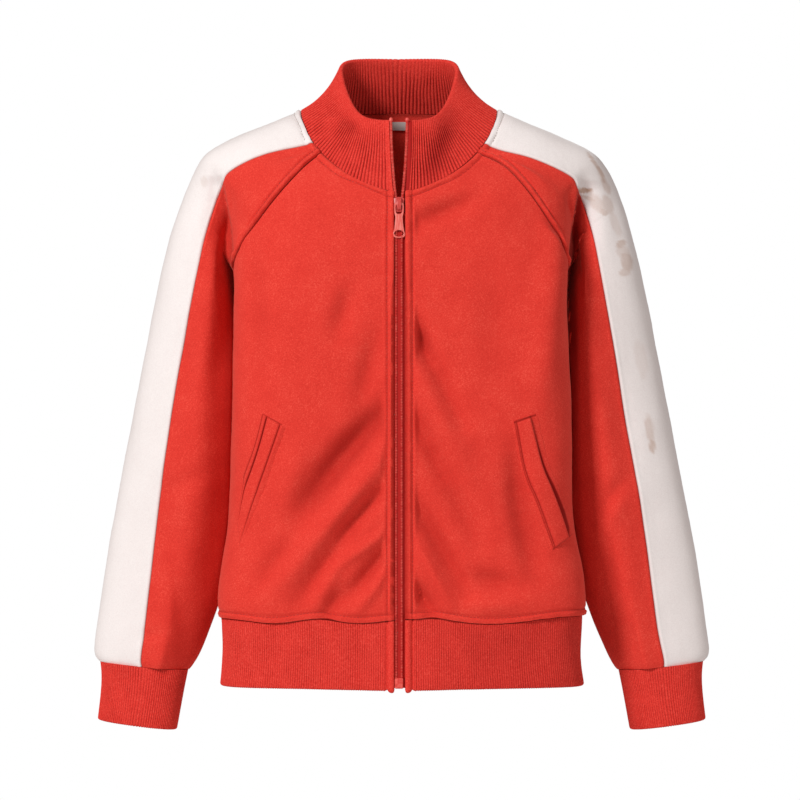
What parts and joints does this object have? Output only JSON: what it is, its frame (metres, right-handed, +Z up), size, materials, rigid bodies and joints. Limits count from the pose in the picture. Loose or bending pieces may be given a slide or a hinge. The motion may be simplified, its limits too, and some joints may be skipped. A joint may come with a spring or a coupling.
{
  "type": "bomber jacket",
  "caption": "Child's zip-front bomber jacket in track style: raglan sleeves with a pale stripe, rib stand collar, cuffs and hem, slanted pockets, standing hollow as worn.",
  "frame": {"origin": "middle of the neck opening, level with the points where the shoulders meet the collar", "axes": "+X to the wearer's left, -Y out of the front, +Z up; the jacket stands as it is worn"},
  "size_m": [0.5666, 0.1806, 0.6224],
  "materials": {
    "red_fleece": "red brushed sweatshirt knit, matt, fine short nap",
    "white_fleece": "off-white brushed sweatshirt knit, matt",
    "red_rib": "red rib knit, matt, fine upright ribs",
    "label_cloth": "pale woven tape, plain",
    "zip_tape": "red woven polyester tape",
    "zip_coil": "red nylon coil, slightly shiny",
    "painted_slider": "light red baked paint on cast metal, soft sheen"
  },
  "bodies": {
    "jacket": {"back": "red_fleece", "collar": "red_rib", "cuff_left": "red_rib", "cuff_right": "red_rib", "front_left": "red_fleece", "front_right": "red_fleece", "hem_band": "red_rib", "neck_label": "label_cloth", "neck_tape": "red_fleece", "pocket_welt_left": "red_fleece", "pocket_welt_right": "red_fleece", "sleeve_back_left": "red_fleece", "sleeve_back_right": "red_fleece", "sleeve_front_left": "red_fleece", "sleeve_front_right": "red_fleece", "sleeve_stripe_left": "white_fleece", "sleeve_stripe_right": "white_fleece", "zip_bottom_box": "zip_coil", "zip_chain": "zip_coil", "zip_coil_left": "zip_coil", "zip_coil_right": "zip_coil", "zip_slider": "painted_slider", "zip_tape_left": "zip_tape", "zip_tape_right": "zip_tape", "zip_top_stop_left": "zip_coil", "zip_top_stop_right": "zip_coil"},
    "pull_tab": {"zip_pull": "painted_slider"}
  },
  "joints": [
    {"name": "pull_tab_hinge", "type": "hinge", "parent": "jacket", "child": "pull_tab", "pos_m": [0, -0.08071, -0.09105], "axis": [-1, 0, 0], "range_deg": [0, 150]}
  ]
}
